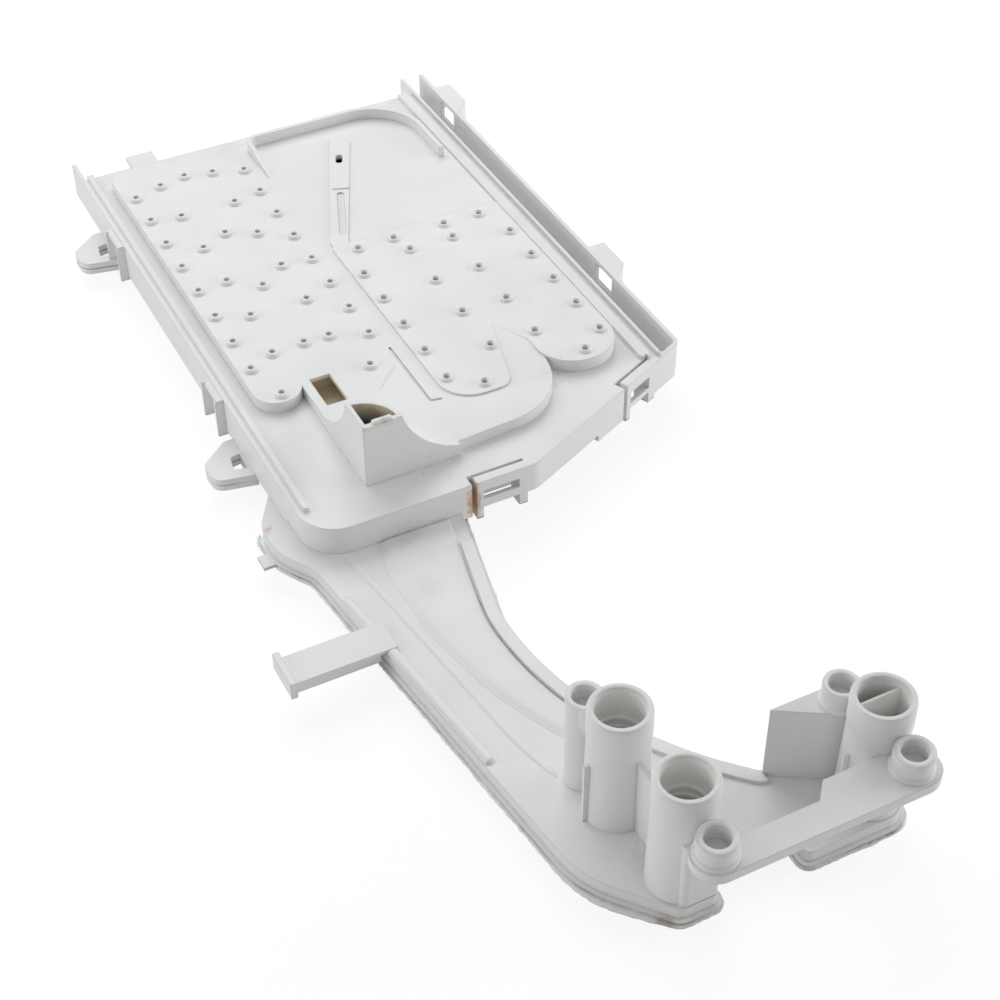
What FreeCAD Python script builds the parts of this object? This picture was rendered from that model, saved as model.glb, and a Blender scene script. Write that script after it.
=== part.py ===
import FreeCAD, Part
import math
import os

import Sketcher
from FreeCAD import Placement, Rotation, Vector

# Washing-machine detergent dispenser cover, nozzle side up, in millimetres.
# Two welded mouldings: the nozzle cover with its water arm, and the backing shell below them.
# X runs across the plate, Y from the arm to the back edge, Z up from the face that it rests on.
# The outlines are drawn with Y = 0 at the plate's front rim, and the finished pieces are moved
# back by half the plate's length, so that the origin is under the middle of the plate.

doc = FreeCAD.newDocument("DispenserCover")
sheet = doc.addObject("Spreadsheet::Sheet", "Dimensions")


class Size:
    """A length with its formula in the sheet's names and its value in millimetres."""

    def __init__(self, text, value):
        self.text = text
        self.value = float(value)

    def joined(self, other, sign, value):
        return Size(f"({self.text} {sign} {wrap(other).text})", value)

    def __add__(self, other):
        return self.joined(other, "+", self.value + wrap(other).value)

    def __sub__(self, other):
        return self.joined(other, "-", self.value - wrap(other).value)

    def __mul__(self, other):
        return self.joined(other, "*", self.value * wrap(other).value)

    def __truediv__(self, other):
        return self.joined(other, "/", self.value / wrap(other).value)

    def __neg__(self):
        return Size(f"(0 - {self.text})", -self.value)

    def __radd__(self, other):
        return wrap(other) + self

    def __rsub__(self, other):
        return wrap(other) - self

    def __rmul__(self, other):
        return wrap(other) * self


def wrap(value):
    if isinstance(value, Size):
        return value
    return Size(f"({value})", value)


def smaller(a, b):
    """The smaller of two lengths, for a rounding that its walls limit."""
    a, b = wrap(a), wrap(b)
    return Size(f"min({a.text}; {b.text})", min(a.value, b.value))


rows = 0


def dimension(alias, value):
    """Write one driving dimension into the sheet and return it as a Size."""
    global rows
    rows += 1
    sheet.set(f"A{rows}", alias.replace("_", " "))
    sheet.set(f"B{rows}", str(value))
    sheet.setAlias(f"B{rows}", alias)
    return Size(f"Dimensions.{alias}", value)


# Heights, from the resting face up
backing_depth = dimension("backing_depth", 8)
arm_side_height = dimension("arm_side_height", 7)
floor_above_arm = dimension("floor_above_arm", 14)
skirt_depth = dimension("skirt_depth", 18)
pad_height = dimension("pad_height", 5.5)
curb_height = dimension("curb_height", 5.5)
spout_rise = dimension("spout_rise", 32)
socket_rise = dimension("socket_rise", 54)
bracket_rise = dimension("bracket_rise", 36)
boss_rise = dimension("boss_rise", 9)

# Thicknesses
wall = dimension("wall", 2)
floor_thickness = dimension("floor_thickness", 2.5)
backing_thickness = dimension("backing_thickness", 2)
flange_thickness = dimension("flange_thickness", 1.5)
flange_width = dimension("flange_width", 2)
rib_width = dimension("rib_width", 1.6)

# Plate
plate_width = dimension("plate_width", 203)
plate_length = dimension("plate_length", 306)
cheek_overhang = dimension("cheek_overhang", 17)
front_corner_radius = dimension("front_corner_radius", 18)
bend_from_centre = dimension("bend_from_centre", 3)
right_setback = dimension("right_setback", 45)
right_corner_radius = dimension("right_corner_radius", 6)
front_lift = dimension("front_lift", 3.5)
channel_width = dimension("channel_width", 9.5)
channel_depth = dimension("channel_depth", 13)
weld_inset = dimension("weld_inset", 5)
arm_reach = dimension("arm_reach", 219.5)

z_seam = backing_depth
z_arm = z_seam + arm_side_height
z_floor = z_arm + floor_above_arm
z_under_floor = z_floor - floor_thickness
z_skirt = z_floor - skirt_depth
z_pad = z_floor + pad_height
z_bracket = z_arm + bracket_rise
z_boss = z_bracket + boss_rise
z_socket = z_arm + socket_rise
half_width = plate_width / 2
channel_left = half_width - wall - channel_width
arm_front = -arm_reach


def bind(thing, place, size):
    """Bind one property of a document object to its formula."""
    thing.setExpression(place, wrap(size).text)


def box(name, x, y, z, length, width, height):
    thing = doc.addObject("Part::Box", name)
    bind(thing, "Length", length)
    bind(thing, "Width", width)
    bind(thing, "Height", height)
    place(thing, x, y, z)
    return thing


def place(thing, x, y, z):
    bind(thing, "Placement.Base.x", x)
    bind(thing, "Placement.Base.y", y)
    bind(thing, "Placement.Base.z", z)


def cylinder(name, x, y, z, radius, height):
    thing = doc.addObject("Part::Cylinder", name)
    bind(thing, "Radius", radius)
    bind(thing, "Height", height)
    place(thing, x, y, z)
    return thing


def cone(name, x, y, z, bottom_radius, top_radius, height):
    thing = doc.addObject("Part::Cone", name)
    bind(thing, "Radius1", bottom_radius)
    bind(thing, "Radius2", top_radius)
    bind(thing, "Height", height)
    place(thing, x, y, z)
    return thing


def prism(name, x, y, z, sides, radius, height):
    thing = doc.addObject("Part::Prism", name)
    thing.Polygon = sides
    bind(thing, "Circumradius", radius)
    bind(thing, "Height", height)
    place(thing, x, y, z)
    return thing


def fused(name, things):
    thing = doc.addObject("Part::MultiFuse", name)
    thing.Shapes = things
    return thing


def cut(name, base, tool):
    thing = doc.addObject("Part::Cut", name)
    thing.Base = base
    thing.Tool = tool
    return thing


def common(name, things):
    thing = doc.addObject("Part::MultiCommon", name)
    thing.Shapes = things
    return thing


def origin_plane(body, role):
    for feature in body.Origin.OriginFeatures:
        if feature.Role == role:
            return feature
    raise RuntimeError(f"{body.Name} has no {role}")


def corner_arc(before, corner, after, radius):
    """Tangent points and centre of the rounding at one corner of an outline."""
    to_before = (before - corner).normalize()
    to_after = (after - corner).normalize()
    half_angle = to_before.getAngle(to_after) / 2
    reach = radius / math.tan(half_angle)
    middle = (to_before + to_after).normalize()
    centre = corner + middle * (radius / math.sin(half_angle))
    return corner + to_before * reach, corner + to_after * reach, centre


def outline_sketch(body, name, corners, level):
    """A constrained closed outline: each corner is a point with an optional tangent arc."""
    sketch = body.newObject("Sketcher::SketchObject", name)
    sketch.AttachmentSupport = (origin_plane(body, "XY_Plane"), [""])
    sketch.MapMode = "FlatFace"
    bind(sketch, "AttachmentOffset.Base.z", level)
    count = len(corners)
    points = [Vector(wrap(x).value, wrap(y).value, 0) for x, y, r in corners]
    radii = [wrap(r).value for x, y, r in corners]
    starts = []
    ends = []
    centres = []
    for i in range(count):
        before = points[i - 1]
        after = points[(i + 1) % count]
        if radii[i] > 0:
            entry, leave, centre = corner_arc(before, points[i], after, radii[i])
        else:
            entry, leave, centre = points[i], points[i], None
        starts.append(entry)
        ends.append(leave)
        centres.append(centre)
    lines = []
    for i in range(count):
        lines.append(sketch.addGeometry(Part.LineSegment(ends[i], starts[(i + 1) % count]), False))
    for i in range(count):
        x, y, r = corners[i]
        line_in = lines[i - 1]
        line_out = lines[i]
        if centres[i] is None:
            sketch.addConstraint(Sketcher.Constraint("Coincident", line_in, 2, line_out, 1))
            hold_point(sketch, line_out, 1, x, y)
            continue
        corner = sketch.addGeometry(Part.Point(points[i]), True)
        hold_point(sketch, corner, 1, x, y)
        turn_left = (points[i] - starts[i]).cross(ends[i] - points[i]).z > 0
        first, last = (starts[i], ends[i]) if turn_left else (ends[i], starts[i])
        from_angle = math.atan2(first.y - centres[i].y, first.x - centres[i].x)
        to_angle = math.atan2(last.y - centres[i].y, last.x - centres[i].x)
        circle = Part.Circle(centres[i], Vector(0, 0, 1), radii[i])
        arc = sketch.addGeometry(Part.ArcOfCircle(circle, from_angle, to_angle), False)
        entry_end, leave_end = (1, 2) if turn_left else (2, 1)
        sketch.addConstraint(Sketcher.Constraint("Tangent", line_in, 2, arc, entry_end))
        sketch.addConstraint(Sketcher.Constraint("Tangent", line_out, 1, arc, leave_end))
        sketch.addConstraint(Sketcher.Constraint("PointOnObject", corner, 1, line_in))
        sketch.addConstraint(Sketcher.Constraint("PointOnObject", corner, 1, line_out))
        index = sketch.addConstraint(Sketcher.Constraint("Radius", arc, radii[i]))
        bind(sketch, f"Constraints[{index}]", r)
    return sketch


def hold_point(sketch, geometry, point, x, y):
    """Hold a sketch point at its distances from the sketch's origin."""
    for kind, size in (("DistanceX", x), ("DistanceY", y)):
        size = wrap(size)
        index = sketch.addConstraint(Sketcher.Constraint(kind, geometry, point, size.value))
        bind(sketch, f"Constraints[{index}]", size)


outline_levels = {}


def padded(name, corners, level, height):
    """A body with one outline padded upwards from a level."""
    outline_levels[name] = wrap(level)
    body = doc.addObject("PartDesign::Body", name)
    sketch = outline_sketch(body, f"{name}Outline", corners, level)
    pad = body.newObject("PartDesign::Pad", f"{name}Pad")
    pad.Profile = sketch
    bind(pad, "Length", height)
    sketch.Visibility = False
    return body


def shrunk(name, source, distance, level, height):
    """A solid on a body's outline offset sideways; a negative distance moves it inwards."""
    offset = doc.addObject("Part::Offset2D", f"{name}Offset")
    offset.Source = doc.getObject(f"{source.Name}Outline")
    bind(offset, "Value", distance)
    return extruded(name, source, offset, level, height)


def extruded(name, source, face, level, height):
    """A solid on an outline of the body, at a level of its own."""
    solid = doc.addObject("Part::Extrusion", name)
    solid.Base = face
    solid.DirMode = "Custom"
    solid.Dir = Vector(0, 0, 1)
    solid.Solid = True
    bind(solid, "LengthFwd", height)
    bind(solid, "Placement.Base.z", wrap(level) - outline_levels[source.Name])
    return solid


# Plate: a flat floor with a skirt hanging from its edge, slanted at the front right
front_bend = (bend_from_centre, 0, 10)
plate_corners = [
    (-half_width, 0, front_corner_radius),
    front_bend,
    (half_width, right_setback, right_corner_radius),
    (half_width, plate_length, 0),
    (-half_width, plate_length, 0),
]
plate = padded("Plate", plate_corners, z_skirt, skirt_depth)
under_plate = shrunk("UnderPlate", plate, -wall, z_skirt, skirt_depth - floor_thickness)

cheeks = []
for side in (-1, 1):
    outer = half_width if side > 0 else -half_width + wall
    cheeks.append(box(f"Cheek{side + 2}", outer - wall, plate_length - wall, z_skirt,
                      wall, cheek_overhang + wall, skirt_depth))

# Drawer channel along the right wall, open at the top and at the back
slant = right_setback / (half_width - bend_from_centre)


def front_at(x):
    """Distance back to the slanted front edge of the plate at a place across it."""
    return (x - bend_from_centre) * slant


channel_wall_left = channel_left - wall
channel_block = padded("ChannelBlock", [
    (channel_wall_left, front_at(channel_wall_left) + wall / 2, 0),
    (half_width - wall / 2, front_at(half_width) + wall, 0),
    (half_width - wall / 2, plate_length + cheek_overhang, 0),
    (channel_wall_left, plate_length + cheek_overhang, 0),
], z_floor - channel_depth - wall, channel_depth + wall)
channel_front_gap = wall * 1.25
channel_pocket = padded("ChannelPocket", [
    (channel_left, front_at(channel_left) + channel_front_gap, 1),
    (half_width - wall, front_at(half_width - wall) + channel_front_gap, 3),
    (half_width - wall, plate_length + cheek_overhang + wall, 0),
    (channel_left, plate_length + cheek_overhang + wall, 0),
], z_floor - channel_depth, channel_depth * 2)


def slab(name, x0, x1, y0, y1, z0, z1):
    """A box given by its faces."""
    x0, x1, y0, y1, z0, z1 = (wrap(v) for v in (x0, x1, y0, y1, z0, z1))
    return box(name, x0, y0, z0, x1 - x0, y1 - y0, z1 - z0)


def strip_corners(start, end, width, radius=0):
    """Corners of a straight strip between two places."""
    x0, y0 = start
    x1, y1 = end
    run = Vector(wrap(x1).value - wrap(x0).value, wrap(y1).value - wrap(y0).value, 0).normalize()
    side_x = wrap(width) * (-run.y / 2)
    side_y = wrap(width) * (run.x / 2)
    return [
        (x0 - side_x, y0 - side_y, radius),
        (x1 - side_x, y1 - side_y, radius),
        (x1 + side_x, y1 + side_y, radius),
        (x0 + side_x, y0 + side_y, radius),
    ]


def inset_twin(name, source, level, height):
    """The hollow below a raised form, one wall inside its outline."""
    return shrunk(name, source, -wall, level, height)


plate_parts = [channel_block]
removed = [channel_pocket]

# Raised water chambers on the plate, hollow from below
pad_left = -half_width + 11
pad_right = channel_left - 14.8
pad_back = plate_length - 9.5
right_pad_back = plate_length - 14
pad_round = 9
left_lobe_right = pad_left + 22.9
left_lobe_round = 11.4
left_lobe_front = 82.5
valley_x = pad_left + 34.5
valley_half = 4.3
valley_depth = 5.5
valley_round = 2
left_pad = padded("LeftPad", [
    (pad_left, left_lobe_front, left_lobe_round),
    (left_lobe_right, left_lobe_front, left_lobe_round),
    (left_lobe_right, 110, 0),
    (-17, 110, 0),
    (-17, pad_back, pad_round),
    (valley_x + valley_half, pad_back, valley_round),
    (valley_x, pad_back - valley_depth, 0),
    (valley_x - valley_half, pad_back, valley_round),
    (pad_left, pad_back, pad_round),
], z_floor - wall / 2, pad_height + wall / 2)
chamber_left = -half_width + 33
chamber_front = 20
chamber_right = 38
chamber = padded("Chamber", [
    (chamber_left, chamber_front, 0),
    (33, 26.5, 34),
    (chamber_right, 61, 0),
    (chamber_right, 130, 0),
    (chamber_left, 130, 0),
], z_floor - wall / 2, pad_height + wall / 2)
right_lobe_left = 36.5
right_lobe_front = 46.5
right_lobe_round = (pad_right - right_lobe_left) * 0.48
right_pad = padded("RightPad", [
    (right_lobe_left, right_lobe_front, right_lobe_round),
    (pad_right, right_lobe_front, right_lobe_round),
    (pad_right, right_pad_back, 30),
    (-18, right_pad_back, 5),
    (-18, 100, 0),
    (right_lobe_left, 100, 0),
], z_floor - wall / 2, pad_height + wall / 2)
hollow_rise = floor_thickness + pad_height - wall
roof_parts = [left_pad, chamber, right_pad]
for pad in (left_pad, chamber, right_pad):
    removed.append(inset_twin(f"{pad.Name}Hollow", pad, z_under_floor, hollow_rise))

# Step on the right chamber's roof, cut back to a point between its two lobes, where a ramp fades it out
panel_step = dimension("panel_step", 0.8)
panel_back = 182
raised_panel = padded("RaisedPanel", [
    (-14.5, panel_back, 2),
    (-14.5, 46.8, 16),
    (15.5, 46.8, 8),
    (27, 90, 0),
    (right_lobe_left, 72, 0),
    (right_lobe_left, right_lobe_front, right_lobe_round),
    (pad_right, right_lobe_front, right_lobe_round),
    (pad_right, panel_back, 2),
], z_pad - wall / 2, panel_step + wall / 2)
ramp_start = 58
ramp_length = 34
panel_ramp = doc.addObject("Part::Wedge", "PanelRamp")
bind(panel_ramp, "Xmin", 8)
bind(panel_ramp, "Xmax", right_lobe_left)
bind(panel_ramp, "X2min", 8)
bind(panel_ramp, "X2max", right_lobe_left)
bind(panel_ramp, "Ymin", ramp_start)
bind(panel_ramp, "Ymax", ramp_start + ramp_length)
bind(panel_ramp, "Zmin", z_pad - wall / 2)
bind(panel_ramp, "Zmax", z_pad)
bind(panel_ramp, "Z2min", z_pad - wall / 2)
bind(panel_ramp, "Z2max", z_pad + panel_step)
roof_parts += [raised_panel, panel_ramp]

# Curb around the back of the right chamber, its left end sloping down to the roof
curb_thickness = dimension("curb_thickness", 2.5)
curb_left = -15
curb_inner_back = right_pad_back - 4.8
curb_inner_right = pad_right - 6.2
curb_front_left = right_pad_back - 38
curb_front_right = right_pad_back - 59
curb = padded("Curb", [
    (curb_left - curb_thickness, curb_front_left, 0),
    (curb_left - curb_thickness, curb_inner_back + curb_thickness, 6.5),
    (curb_inner_right + curb_thickness, curb_inner_back + curb_thickness, 30.5),
    (curb_inner_right + curb_thickness, curb_front_right, 0),
    (curb_inner_right, curb_front_right, 0),
    (curb_inner_right, curb_inner_back, 28),
    (curb_left, curb_inner_back, 4),
    (curb_left, curb_front_left, 0),
], z_pad - wall / 2, curb_height + wall / 2)
roof_parts.append(curb)
curb_slope = doc.addObject("Part::Wedge", "CurbSlope")
slope_length = 31
bind(curb_slope, "Xmin", curb_left - curb_thickness * 2)
bind(curb_slope, "Xmax", curb_left + curb_thickness)
bind(curb_slope, "X2min", curb_left - curb_thickness * 2)
bind(curb_slope, "X2max", curb_left + curb_thickness)
bind(curb_slope, "Ymin", curb_front_left)
bind(curb_slope, "Ymax", curb_front_left + slope_length)
bind(curb_slope, "Zmin", z_pad)
bind(curb_slope, "Zmax", z_pad + curb_height * 2)
bind(curb_slope, "Z2min", z_pad + curb_height)
bind(curb_slope, "Z2max", z_pad + curb_height * 2)
removed.append(curb_slope)

# Tapering stem on the right chamber's roof, with a sunk channel and a slot through it
stem_foot = (-13.5, 186)
stem_tip = (24.7, right_pad_back - 16)
stem = padded("Stem", [
    (stem_tip[0], stem_tip[1], 1),
    (stem_foot[0], stem_foot[1], 3),
    (stem_foot[0] + 1.1, stem_foot[1] - 18, 3),
    (stem_foot[0] + 8.5, stem_foot[1] - 4, 6),
    (stem_tip[0] + 8.9, stem_tip[1] - 8, 1),
], z_pad - wall / 2, panel_step + wall / 2)
roof_parts.append(stem)
channel_start = (stem_foot[0] + 9, stem_foot[1] + 4)
channel_end = (channel_start[0] + 13.8, channel_start[1] + 35)
stem_channel = padded("StemChannel", strip_corners(channel_start, channel_end, 3.5, 1.6),
                      z_pad, panel_step * 2)
slot_width = dimension("slot_width", 3.5)
slot_start = (stem_tip[0] - 5, stem_tip[1] - 25.4)
slot_end = (stem_tip[0] - 1.8, stem_tip[1] - 18.2)
stem_slot = padded("StemSlot", strip_corners(slot_start, slot_end, slot_width, slot_width * 0.45),
                   z_pad - wall * 2, wall * 4)
step_start = (channel_end[0] - 2.5, channel_end[1] + 4)
step_end = (step_start[0] + 8, step_start[1] - 3)
stem_step = padded("StemStep", strip_corners(step_start, step_end, 1.2),
                   z_pad + panel_step / 2, panel_step)
removed += [stem_channel, stem_slot, stem_step]

# Hooked groove between the chambers and the left chamber's side window
groove_depth = dimension("groove_depth", 0.8)
groove_width = dimension("groove_width", 1.2)
groove_x = -22.2
roof_groove = padded("RoofGroove", [
    (groove_x - groove_width / 2, 97, 0),
    (groove_x - groove_width / 2, 53, 2.2),
    (-17, 52, 0),
    (-17, 52 + groove_width, 0),
    (groove_x + groove_width / 2, 53 + groove_width, 1),
    (groove_x + groove_width / 2, 97, 0),
], z_pad - groove_depth, groove_depth * 2)
window_left = chamber_left + 4.5
window = slab("Window", window_left, window_left + 9.8, 71.5, 92, z_under_floor - wall, z_pad + wall)
removed += [roof_groove, window]

# Quarter spout: a tube with two flat walls and a flared foot
spout_x = chamber_left
spout_y = wrap(chamber_front)
spout_radius = dimension("spout_radius", 18)
spout_flare = dimension("spout_flare", 27)


def quarter_revolved(name, inset, bottom, top):
    """A quarter turn of the flared profile about the spout's corner edge."""
    body = doc.addObject("PartDesign::Body", name)
    sketch = body.newObject("Sketcher::SketchObject", f"{name}Profile")
    sketch.AttachmentSupport = (origin_plane(body, "XZ_Plane"), [""])
    sketch.MapMode = "FlatFace"
    neck_radius = spout_radius - inset
    foot_radius = neck_radius + spout_flare
    curve = spout_curve + inset
    foot_level = z_pad - inset
    corners = [(0, bottom), (foot_radius, bottom), (foot_radius, foot_level), (neck_radius, top), (0, top)]
    points = [Vector(wrap(x).value, wrap(z).value, 0) for x, z in corners]
    foot, neck = points[2], points[3]
    half_chord = (neck - foot) / 2
    outward = Vector(half_chord.y, -half_chord.x, 0).normalize()
    centre = foot + half_chord + outward * math.sqrt(curve.value ** 2 - half_chord.Length ** 2)
    neck_angle = math.atan2(neck.y - centre.y, neck.x - centre.x)
    foot_angle = math.atan2(foot.y - centre.y, foot.x - centre.x)
    circle = Part.Circle(centre, Vector(0, 0, 1), curve.value)
    arc = sketch.addGeometry(Part.ArcOfCircle(circle, neck_angle, foot_angle), False)
    # Each side's number and the ends at which it starts and stops on the way round
    sides = []
    for i in (0, 1, 3, 4):
        line = Part.LineSegment(points[i], points[(i + 1) % len(points)])
        sides.append((sketch.addGeometry(line, False), 1, 2))
    sides.insert(2, (arc, 2, 1))
    for i, (x, z) in enumerate(corners):
        side, first, last = sides[i]
        before, before_first, before_last = sides[i - 1]
        sketch.addConstraint(Sketcher.Constraint("Coincident", before, before_last, side, first))
        hold_point(sketch, side, first, x, z)
    index = sketch.addConstraint(Sketcher.Constraint("Radius", arc, curve.value))
    bind(sketch, f"Constraints[{index}]", curve)
    turn = body.newObject("PartDesign::Revolution", f"{name}Turn")
    turn.Profile = sketch
    turn.ReferenceAxis = (sketch, ["V_Axis"])
    turn.Angle = 90
    bind(body, "Placement.Base.x", spout_x)
    bind(body, "Placement.Base.y", spout_y)
    return body


spout_top = z_floor + spout_rise
spout_curve = dimension("spout_curve", 37.6)
spout = quarter_revolved("Spout", wrap(0), z_floor - wall / 2, spout_top)
spout_core = quarter_revolved("SpoutCore", wall, z_under_floor, spout_top + wall)
spout_reach = spout_radius + spout_flare
spout_inside = slab("SpoutInside", spout_x + wall, spout_x + spout_reach, spout_y + wall,
                    spout_y + spout_reach, z_under_floor - wall, spout_top + wall * 2)
spout_bore = common("SpoutBore", [spout_core, spout_inside])
roof_parts.append(spout)
removed.append(spout_bore)
lip = slab("SpoutLip", spout_x + 1, spout_x + 15, spout_y - 0.8, spout_y + wall,
           spout_top - 1.4, spout_top)
roof_parts.append(lip)

# Spray nozzles: short bored pips on the chambers' roofs
nozzle_radius = dimension("nozzle_radius", 2.6)
nozzle_hole_radius = dimension("nozzle_hole_radius", 1.5)
nozzle_height = dimension("nozzle_height", 1.5)
outer_left = pad_left + 6
outer_right = pad_right - 5.9
left_first_y = 110.8
left_pitch = (pad_back - 28.9 - left_first_y) / 7
middle_first_y = 148.6
middle_pitch = (pad_back - 23.6 - middle_first_y) / 4
right_first_y = 63.9
right_pitch = 22.5
inner_first_y = 76.2
inner_pitch = 28.7
nozzle_places = []
for row in range(8):
    for x in (outer_left, -26.2):
        nozzle_places.append((x, left_first_y + left_pitch * row))
for row in range(5):
    for x in (pad_left + 20.9, -41.4):
        nozzle_places.append((x, middle_first_y + middle_pitch * row))
for y in (118.1, 168.3, 218, pad_back - 20.3):
    nozzle_places.append((pad_left + 34.9, y))
nozzle_places += [(pad_left + 19, 117.4), (-43.3, 117.6), (pad_left + 11.6, 88), (-35.5, 88.7)]
for row in range(5):
    for x in (-9.2, outer_right):
        nozzle_places.append((x, right_first_y + right_pitch * row))
for row in range(4):
    for x in (19, 42):
        nozzle_places.append((x, inner_first_y + inner_pitch * row))
for x in (-3.2, 15.8, 43.1, pad_right - 12.8):
    nozzle_places.append((x, 174.6))
nozzle_places += [(4.4, 53), (pad_right - 19.3, 53.4)]
nozzle_sides = 8
hole_sides = 6
nozzles = []
nozzle_holes = []
for number, (x, y) in enumerate(nozzle_places):
    nozzles.append(prism(f"Nozzle{number}", x, y, z_pad - wall / 2, nozzle_sides, nozzle_radius,
                         nozzle_height + wall / 2))
    nozzle_holes.append(prism(f"NozzleHole{number}", x, y, z_pad - wall * 1.5, hole_sides,
                              nozzle_hole_radius, nozzle_height + wall * 3))
removed += nozzle_holes

# Ribs along the plate, and the tab at its back edge
ridge_height = dimension("ridge_height", 2)
rail_start = 41
left_ridge = padded("LeftRidge", [
    (-half_width + 3, 17, 1.4),
    (-half_width + 6, 17, 1.4),
    (-half_width + 6, plate_length, 0),
    (-half_width + 3, plate_length, 0),
], z_floor - wall / 2, ridge_height + wall / 2)
rail_left = channel_left - 11.4
rail_right = channel_left - 6
right_rail = padded("RightRail", [
    (rail_left, rail_start, 2.5),
    (rail_right, rail_start, 2.5),
    (rail_right, plate_length, 0),
    (rail_left, plate_length, 0),
], z_floor - wall / 2, ridge_height + wall / 2)
channel_rib = slab("ChannelRib", channel_left - 3, channel_left - 1.4, rail_start, plate_length + 2,
                   z_floor - wall, z_floor + ridge_height)
tab_left = -half_width + 27.5
back_tab = slab("BackTab", tab_left, tab_left + 14, plate_length - wall, plate_length + 11,
                z_under_floor, z_floor)
side_parts = [left_ridge, right_rail, channel_rib, back_tab]

# Latches in the front skirt: a clip between two posts, cut free by a slot behind it and a slit beside it
post_width = dimension("post_width", 3)
post_depth = 8
post_drop = 2.5
clip_depth = 4.4
clip_height = 5.5
slot_gap = 1.4
slit_width = 2.4
z_clip = z_floor - clip_height
z_lifted = z_skirt + front_lift


def latch(name, left, right, right_post_width, opening):
    """A latch between two places on the front rim: its slit's outer side and its right post's outer side."""
    along = Vector(right[0] - left[0], right[1] - left[1], 0)
    span = along.Length
    along.normalize()
    inward = Vector(-along.y, along.x, 0)

    def block(part, start, end, near, far, bottom, top):
        """A block between two distances along the latch and two depths behind the rim."""
        middle = inward * ((near + far) / 2)
        first = Vector(left[0], left[1], 0) + along * start + middle
        last = Vector(left[0], left[1], 0) + along * end + middle
        corners = strip_corners((first.x, first.y), (last.x, last.y), far - near)
        return padded(f"{name}{part}", corners, bottom, wrap(top) - bottom)

    post_end = slit_width + post_width.value
    inner_end = span - right_post_width
    behind = clip_depth + slot_gap
    side_parts.append(block("LeftPost", slit_width, post_end, 0, post_depth,
                            z_skirt - post_drop, z_floor - floor_thickness / 2))
    side_parts.append(block("RightPost", inner_end, span, 0, post_depth,
                            z_skirt - post_drop, z_floor - floor_thickness / 2))
    side_parts.append(block("Clip", slit_width, span, 0, clip_depth, z_clip, z_floor - floor_thickness / 2))
    removed.append(block("Slot", 0, span, clip_depth, behind, z_clip, z_floor + wall))
    removed.append(block("Slit", 0, slit_width, -wall.value, behind, z_skirt - wall, z_floor + wall))
    removed.append(block("Window", post_end, inner_end, -wall.value, wall.value * 1.3,
                         z_clip - opening, z_clip))
    removed.append(block("Trim", post_end, inner_end, -wall.value, wall.value * 1.3,
                         z_skirt - wall, z_lifted))


latch("MiddleLatch", (-28.4, 0), (-1.6, 0), 4, 4.6)
latch("SideLatch", (61.5, front_at(61.5).value), (84, front_at(84).value), 5, 6.2)

# The skirt's lower edge is higher between the latches than at the plate's sides
lift_start = -1.6
lift_end = 44
lift_width = wall.value * 3
removed.append(slab("BendTrim", lift_start, bend_from_centre + 1, -wall, wall * 1.3,
                    z_skirt - wall, z_lifted))
removed.append(padded("SlantTrim", strip_corners((bend_from_centre.value, front_at(bend_from_centre.value)),
                                                 (lift_end, front_at(lift_end)), lift_width),
                      z_skirt - wall, z_lifted - z_skirt + wall))

# Paired fins and a lug on the left wall, and a looped hook beside each pair
fin_projection = dimension("fin_projection", 4)
hook_thickness = dimension("hook_thickness", 6)
hook_bottom = z_skirt - 5


def fin_pair(name, back_y):
    fin_gap = 17
    for number, y in enumerate((back_y, back_y - fin_gap)):
        side_parts.append(slab(f"{name}Fin{number}", -half_width - fin_projection, -half_width + wall / 2,
                               y - rib_width / 2, y + rib_width / 2, z_skirt - 2, z_floor - 1))
    lug_outer = -half_width - fin_projection * 0.8
    side_parts.append(padded(f"{name}Lug", [
        (-half_width + wall / 2, back_y + 5, 0),
        (lug_outer, back_y - 3, 3),
        (lug_outer, back_y - fin_gap - rib_width / 2, 0),
        (-half_width + wall / 2, back_y - fin_gap - rib_width / 2, 0),
    ], z_floor - wall, wall - 0.3))


def hook(name, root_y):
    """A thick finger that bends back to the wall, with a small eye at its root."""
    root = -half_width + wall / 2
    finger = padded(f"{name}Finger", [
        (root, root_y + 3.5, 0),
        (root - 5.5, root_y + 3.5, 2),
        (root - 19.5, root_y - 8, 6),
        (root - 19, root_y - 20.5, 6),
        (root, root_y - 24.5, 0),
    ], hook_bottom, hook_thickness)
    eye = padded(f"{name}Eye", [
        (root - 8.4, root_y - 16.8, 1),
        (root - 2.2, root_y - 18.2, 0.5),
        (root - 2.2, root_y - 7.4, 0.5),
        (root - 6.8, root_y - 8.4, 1),
    ], hook_bottom - wall, hook_thickness + wall * 2)
    side_parts.append(finger)
    removed.append(eye)


fin_pair("Back", plate_length - 49)
fin_pair("Front", 121)
hook("BackHook", plate_length - 28)
hook("FrontHook", 92)

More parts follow.
